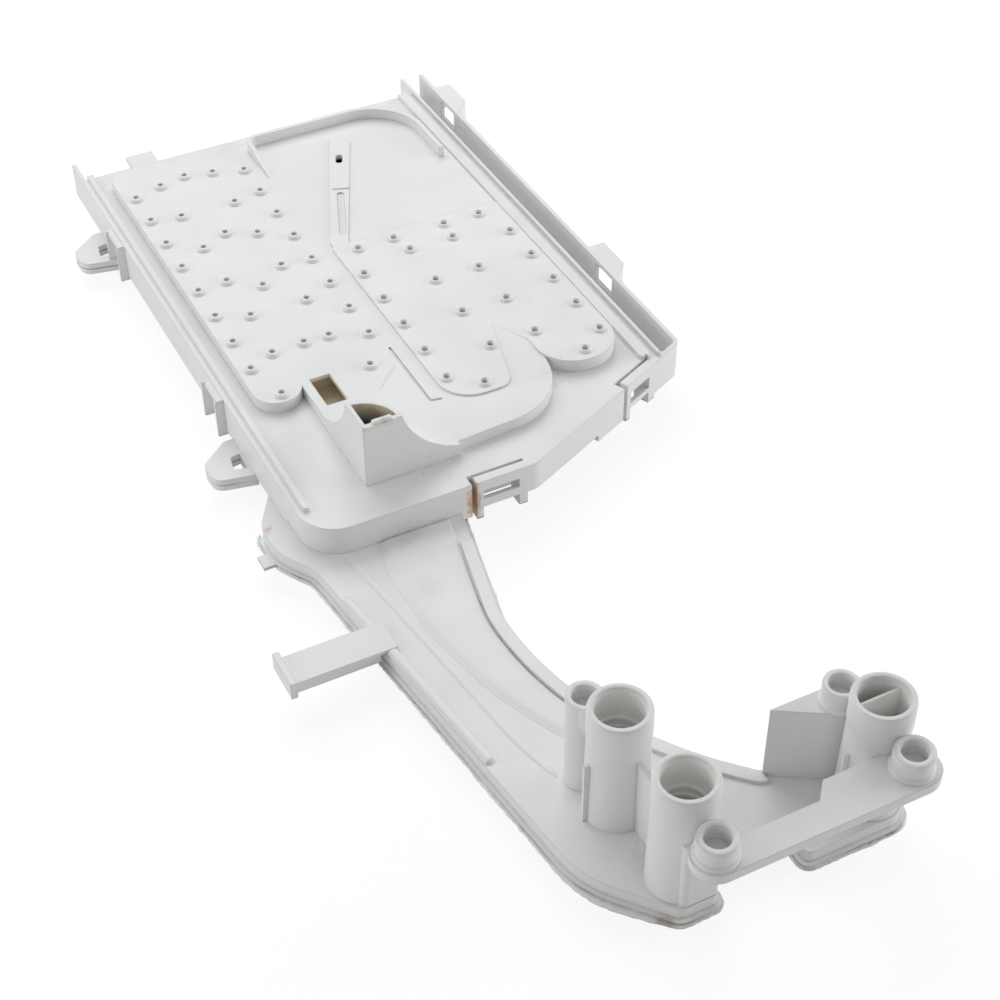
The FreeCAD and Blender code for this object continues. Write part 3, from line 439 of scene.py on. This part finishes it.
panel_pips = [(x, 63.9 + 22.5 * row) for row in range(5) for x in (-9.2, PAD_RIGHT - 5.9)]
panel_pips += [(x, 76.2 + 28.7 * row) for row in range(4) for x in (19, 42)]
panel_pips += [(x, 174.6) for x in (-3.2, 15.8, 43.1, PAD_RIGHT - 12.8)]
panel_pips += [(4.4, 53), (PAD_RIGHT - 19.3, 53.4)]
nozzles = Mesh()
for places, lift in ((roof_pips, 0), (panel_pips, PANEL_STEP * 0.7)):
    for centre in places:
        nozzles.lathe(centre, [(r, PAD + lift + h) for r, h in PIP], PIP_SEGMENTS)
nozzles.build("nozzle_rims", cover_plastic)

# Hose sockets: a slightly wider collar with a soft lip at each mouth, and steps in the open bores
SOCKET_COLLAR = [(11.2, -15), (11.7, -13.6), (12.0, -11.6), (12.05, -1.5), (11.85, -0.5), (11.4, 0.05),
                 (10.7, 0.18), (10.05, 0.1), (9.6, -0.35), (9.38, -1.2), (9.36, -9), (9.8, -12)]
SOCKET_STEP = [(9.55, -17.2), (9.0, -17.0), (8.7, -16.7), (8.62, -16.3), (8.62, -15.2), (8.72, -14.8),
               (9.0, -14.6), (9.55, -14.5)]
STEP_DROPS = (0, -4.5)
SOCKET_SEGMENTS = 64
open_sockets = [(-54.2, -168.8), (-49.8, -206.4)]
divided_socket = (30.3, -206.6)
collars = Mesh()
for centre in open_sockets + [divided_socket]:
    collars.lathe(centre, [(r, SOCKET_TOP + h) for r, h in SOCKET_COLLAR], SOCKET_SEGMENTS)
collars.build("socket_collars", cover_plastic)
steps = Mesh()
for centre in open_sockets:
    for drop in STEP_DROPS:
        steps.lathe(centre, [(r, SOCKET_TOP + h + drop) for r, h in SOCKET_STEP], SOCKET_SEGMENTS)
steps.build("socket_steps", cover_plastic)

# Blind bosses: a lip at each mouth and a foot ring on the bracket
BOSS_LIP = [(7.2, -5), (7.62, -4), (7.66, -1.1), (7.5, -0.35), (7.1, 0.05), (6.5, 0.15), (5.6, 0.12),
            (5.12, -0.2), (4.93, -0.9), (4.92, -3.4), (5.4, -4.5)]
BOSS_FOOT = [(7.0, -0.6), (8.35, -0.4), (8.45, 0.9), (8.2, 1.5), (7.7, 1.8), (7.0, 1.9)]
BOSS_WALL, BOSS_SEGMENTS = 6, 48
# Centre, how much wider than the drawing's boss, and whether it stands on the bracket
bosses = [((-49.8, -226.7), 0.0, True), ((30.5, -226.3), 0.0, True),
          ((26.3, -188.3), -0.6, True), ((-58.2, -151.0), -0.4, False)]
lips = Mesh()
for centre, wider, on_bracket in bosses:
    lip_profile = [(r + (wider if r > BOSS_WALL else 0), BOSS_TOP + h) for r, h in BOSS_LIP]
    lips.lathe(centre, lip_profile, BOSS_SEGMENTS)
    if on_bracket:
        lips.lathe(centre, [(r + wider, BRACKET + h) for r, h in BOSS_FOOT], BOSS_SEGMENTS)
lips.build("boss_lips", cover_plastic)

# Arm: the rounded bead, and faint folds beside it and on the roof
bead = Mesh()
bead_line = resampled([Vector((-98.9, -24.2)), Vector((-85.2, -130.2))], 1.2)
bead.dome_strip(bead_line, 2.15, 1.85, ARM_TOP, ARM_TOP - 0.8, power=2.8)
bead.build("arm_bead", cover_plastic)
folds = Mesh()
arm_line = resampled(rounded_path([(-88.5, -0.8, 0), (-84.1, -26.2, 60), (-76.6, -85, 90),
                                   (-71.8, -123.7, 60), (-66.5, -147, 0)]), 2.0)
folds.dome_strip(arm_line, 1.6, 0.32, ARM_TOP, ARM_TOP - 0.5, power=2.0, sides=6, taper=14)
roof_line = resampled([Vector((-25.2, 84.3)), Vector((-39.2, 70.4))], 1.0)
folds.dome_strip(roof_line, 0.4, 0.16, PAD, PAD - 0.3, power=2.0, sides=6, taper=2)
folds.build("soft_folds", cover_plastic)

# Arm: the raised field, soft on its left side and close to the rim on its right
ARM_FRONT = -219.5
OUTER_EDGE = [(-111.6, 33, 0), (-113.5, 30.5, 2), (-113.7, 14.3, 28), (-103, -3, 20),
              (-80.8, ARM_FRONT + 28.9, 45), (-56.5, ARM_FRONT, 4), (-40.5, ARM_FRONT, 3),
              (-40.5, ARM_FRONT + 16.5, 2), (-4, ARM_FRONT + 16.5, 2), (-4, ARM_FRONT, 3),
              (40.5, ARM_FRONT, 9), (44, ARM_FRONT + 39.5, 12), (1.5, ARM_FRONT + 39.5, 4),
              (-46.9, -130.5, 148), (-46.9, -62.6, 60), (-31, 11, 0), (-31, 13, 0)]
RIM_WIDTH, GROOVE = 5.5, 0.9
FIELD_BACK, FIELD_FRONT = -0.7, -152
FIELD_STATIONS, FIELD_HEIGHT, FIELD_FADE, FIELD_ROOT = 90, 0.75, 8, 0.9
LIFT = 0.02
# Steps across the field: distance in from its edge, share of its height
SOFT_SIDE = [(0.1, 0.0), (0.9, 0.12), (1.8, 0.4), (2.8, 0.75), (3.6, 0.94), (4.4, 1.0)]
SHARP_SIDE = [(0.7, 1.0), (0.35, 0.9), (0.12, 0.62), (0.0, 0.1)]
inner_path = resampled(rounded_path([(-6, ARM_FRONT + 47, 0)] + OUTER_EDGE[-4:-1]), 2.0)
beside_rim = [p for p in shifted(inner_path, RIM_WIDTH + GROOVE) if FIELD_FRONT < p.y < FIELD_BACK]
field_left = resampled(rounded_path([(-73.5, FIELD_BACK, 0), (-77.6, -19, 30), (-76.9, -60, 60),
                                     (-68.9, -100, 60), (-57.4, -128, 40), (-48.2, -141, 20),
                                     (-37.6, -159.5, 0)]), 2.0)
field_rings = []
left_side = stations(field_left, FIELD_STATIONS)
right_side = stations(beside_rim[::-1], FIELD_STATIONS)
for i, (from_left, from_right) in enumerate(zip(left_side, right_side)):
    across = (from_right - from_left).normalized()
    height = FIELD_HEIGHT * smooth(min(1.0, (FIELD_STATIONS - i) / FIELD_FADE))
    ring = [(from_left.x, from_left.y, ARM_TOP - FIELD_ROOT)]
    for start, sign, profile in ((from_left, 1, SOFT_SIDE), (from_right, -1, SHARP_SIDE)):
        for inset, share in profile:
            place = start + across * (sign * inset)
            ring.append((place.x, place.y, ARM_TOP + LIFT + height * share))
    ring.append((from_right.x, from_right.y, ARM_TOP - FIELD_ROOT))
    field_rings.append(ring)
field = Mesh()
field.ring_stack(field_rings)
field.build("arm_field", cover_plastic)

# Roof: a soft fade between the two arms of the raised panel, where the moulded step runs out
VALLEY_TIP, VALLEY_LEFT, VALLEY_RIGHT = Vector((27, 90)), Vector((15.5, 46.8)), Vector((36.5, 72))
RAMP_START, RAMP_LENGTH, FADE_LOW, FADE_HIGH, FADE_END = 58, 34, 62.0, 84.0, 90.5
FADE_ROWS, FADE_COLUMNS, OVERLAP, SINK, FILM = 30, 10, 0.25, 0.03, 0.012
fade_rings = []
for row in range(FADE_ROWS + 1):
    y = FADE_LOW + (FADE_END - FADE_LOW) * row / FADE_ROWS
    left_part = min(1.0, (y - VALLEY_LEFT.y) / (VALLEY_TIP.y - VALLEY_LEFT.y))
    right_part = min(1.0, max(0.0, (VALLEY_TIP.y - y) / (VALLEY_TIP.y - VALLEY_RIGHT.y)))
    x_left = VALLEY_LEFT.x + (VALLEY_TIP.x - VALLEY_LEFT.x) * left_part - OVERLAP
    x_right = VALLEY_TIP.x + (VALLEY_RIGHT.x - VALLEY_TIP.x) * right_part + OVERLAP
    moulded = PAD + PANEL_STEP * (y - RAMP_START) / RAMP_LENGTH
    part = min(1.0, (y - FADE_LOW) / (FADE_HIGH - FADE_LOW))
    rise = (SINK + FILM) * min(1.0, part * 5) - SINK
    height = moulded + (PAD + PANEL_STEP - moulded) * smooth(part) + rise
    height = min(height, PAD + PANEL_STEP + FILM)
    ring = [(x_left, y, PAD - 0.3)]
    for column in range(FADE_COLUMNS + 1):
        ring.append((x_left + (x_right - x_left) * column / FADE_COLUMNS, y, height))
    ring.append((x_right, y, PAD - 0.3))
    fade_rings.append(ring)
fade_patch = Mesh()
fade_patch.ring_stack(fade_rings)
fade_patch.build("panel_fade", cover_plastic)

# Weld seam: a ragged flash of squeezed-out plastic along the arm's flange
FLANGE_WIDTH, FLASH_SIDES, FLASH_SPACING = 2.0, 7, 1.3
WIDE_CORNER, CORNER_REACH, CORNER_BULGE = Vector((-74.0, -204.0)), 20.0, 2.0
random.seed(7)
edge = resampled(rounded_path(OUTER_EDGE), FLASH_SPACING)
drift = 0.0
flash_rings = []
for point, normal in zip(edge, left_normals(edge)):
    drift = drift * 0.82 + random.uniform(-0.34, 0.34)
    swell = 0.62 + 0.5 * abs(drift) + random.uniform(-0.08, 0.14)
    corner_gap = (point - WIDE_CORNER).length / CORNER_REACH
    bulge = CORNER_BULGE * math.exp(-corner_gap ** 2)
    centre = point - normal * (FLANGE_WIDTH + 0.2 + 0.32 * drift + 0.5 * bulge)
    ring = []
    for k in range(FLASH_SIDES):
        angle = 2 * math.pi * k / FLASH_SIDES
        across = math.cos(angle) * (swell * random.uniform(0.85, 1.15) + 0.5 * bulge)
        up = math.sin(angle) * swell * 0.62 * random.uniform(0.8, 1.2)
        ring.append((centre.x - normal.x * across, centre.y - normal.y * across, SEAM + up))
    flash_rings.append(ring)
flash = Mesh()
flash.ring_stack(flash_rings)
flash.build("weld_flash", cover_plastic)

# Small lip on the spout's mouth
lip = Mesh()
lip_line = resampled([Vector((-64.0, 21.2)), Vector((-54.2, 21.2))], 0.5)
lip.dome_strip(lip_line, 1.5, 1.5, 60.8, 59.6, power=3.2, taper=1.2)
lip.build("spout_lip", cover_plastic)


def rectangle(left, right, front, back, z):
    return [(left, front, z), (right, front, z), (right, back, z), (left, back, z)]


# The scaled guide seen through the chamber's window, an open cup
GUIDE_LEFT, GUIDE_RIGHT, GUIDE_FRONT, GUIDE_BACK = -66.2, -50.0, 68.5, 96.0
GUIDE_LOW, GUIDE_TOP, GUIDE_WALL = 23.6, 32.4, 1.0
outer = (GUIDE_LEFT, GUIDE_RIGHT, GUIDE_FRONT, GUIDE_BACK)
inner = (GUIDE_LEFT + GUIDE_WALL, GUIDE_RIGHT - GUIDE_WALL, GUIDE_FRONT + GUIDE_WALL, GUIDE_BACK - GUIDE_WALL)
guide = Mesh()
guide.ring_stack([rectangle(*outer, GUIDE_LOW), rectangle(*outer, GUIDE_TOP),
                  rectangle(*inner, GUIDE_TOP), rectangle(*inner, GUIDE_LOW + GUIDE_WALL)])
guide.build("window_guide", scaled_plastic)

# Floor: plain paper that the camera sees almost burnt out, so that only a faint shadow stays
REACH, FLOOR_DROP = 6.0, 0.0005
GLOW, GLOW_SEEN, GLOW_ALWAYS = 1.12, 0.64, 0.12
floor_mesh = bpy.data.meshes.new("floor")
floor_mesh.from_pydata([(-REACH, -REACH, 0), (REACH, -REACH, 0), (REACH, REACH, 0), (-REACH, REACH, 0)],
                       [], [(0, 1, 2, 3)])
floor = bpy.data.objects.new("floor", floor_mesh)
floor.location.z = -FLOOR_DROP
bpy.context.scene.collection.objects.link(floor)
paper = Shader("FloorPaper")
paper.surface.inputs["Roughness"].default_value = 0.9
tint = paper.step(paper.noise(3, 2), 0.3, 0.7)
paper.put(paper.surface.inputs["Base Color"], paper.blend(tint, (0.8, 0.8, 0.8, 1), (0.82, 0.82, 0.82, 1)))
seen = paper.add("ShaderNodeLightPath").outputs["Is Camera Ray"]
glow = paper.add("ShaderNodeEmission")
glow.inputs["Strength"].default_value = GLOW
burnt_out = paper.add("ShaderNodeMixShader")
paper.put(burnt_out.inputs[0], paper.math("ADD", paper.math("MULTIPLY", seen, GLOW_SEEN), GLOW_ALWAYS))
paper.put(burnt_out.inputs[1], paper.surface.outputs[0])
paper.put(burnt_out.inputs[2], glow.outputs[0])
paper.put(paper.tree.nodes["Material Output"].inputs["Surface"], burnt_out.outputs[0])
paper.material.cycles.emission_sampling = "NONE"
floor.data.materials.append(paper.material)

# World: a soft ambient light, white to the camera
AMBIENT, SEEN_WHITE = 0.36, 1.0
world = bpy.data.worlds.new("Studio")
bpy.context.scene.world = world
world.use_nodes = True
sky_nodes = world.node_tree.nodes
sky = sky_nodes["Background"]
sky.inputs["Color"].default_value = (1, 1, 1, 1)
sky_level = sky_nodes.new("ShaderNodeMapRange")
sky_level.inputs["To Min"].default_value = AMBIENT
sky_level.inputs["To Max"].default_value = SEEN_WHITE
sky_ray = sky_nodes.new("ShaderNodeLightPath").outputs["Is Camera Ray"]
world.node_tree.links.new(sky_ray, sky_level.inputs["Value"])
world.node_tree.links.new(sky_level.outputs[0], sky.inputs["Strength"])


def softbox(name, place, size, power, colour=(1, 1, 1), target=(0, -0.1, 0)):
    light = bpy.data.lights.new(name, "AREA")
    light.shape = "RECTANGLE"
    light.size, light.size_y = size
    light.energy = power
    light.color = colour
    lamp = bpy.data.objects.new(name, light)
    lamp.location = place
    lamp.rotation_mode = "QUATERNION"
    lamp.rotation_quaternion = (Vector(target) - Vector(place)).to_track_quat("-Z", "Y")
    bpy.context.scene.collection.objects.link(lamp)


# A light tent open at the camera's side: light from the back and from both sides
softbox("BackLight", (0.1, 0.75, 0.95), (1.3, 0.9), 9.2, colour=(0.95, 0.975, 1))
softbox("LeftLight", (-1.1, 0.15, 0.45), (0.9, 0.7), 4.3)
softbox("RightLight", (1.05, -0.45, 0.28), (0.9, 0.45), 6.6)

# Camera, solved from the photograph's perspective
AZIMUTH, ELEVATION, ROLL = (math.radians(v) for v in (-26.603, 42.075, -0.620))
CAMERA_PLACE = Vector((-292.6, -702.7, 569))
camera_data = bpy.data.cameras.new("Camera")
camera_data.sensor_width = 36
camera_data.lens = 69.08
camera_data.shift_x = 0.00435
camera_data.shift_y = 0.0035
camera_data.clip_start = 0.01
camera_data.clip_end = 50
camera = bpy.data.objects.new("Camera", camera_data)
forward = Vector((-math.sin(AZIMUTH) * math.cos(ELEVATION),
                  math.cos(AZIMUTH) * math.cos(ELEVATION), -math.sin(ELEVATION)))
level_right = Vector((math.cos(AZIMUTH), math.sin(AZIMUTH), 0))
level_up = level_right.cross(forward)
turned_right = level_right * math.cos(ROLL) + level_up * math.sin(ROLL)
turned_up = level_up * math.cos(ROLL) - level_right * math.sin(ROLL)
camera_axes = Matrix((turned_right, turned_up, -forward)).transposed()
camera.matrix_world = Matrix.Translation(CAMERA_PLACE * MM) @ camera_axes.to_4x4()
bpy.context.scene.collection.objects.link(camera)
bpy.context.scene.camera = camera

bpy.context.scene.view_settings.view_transform = "Standard"
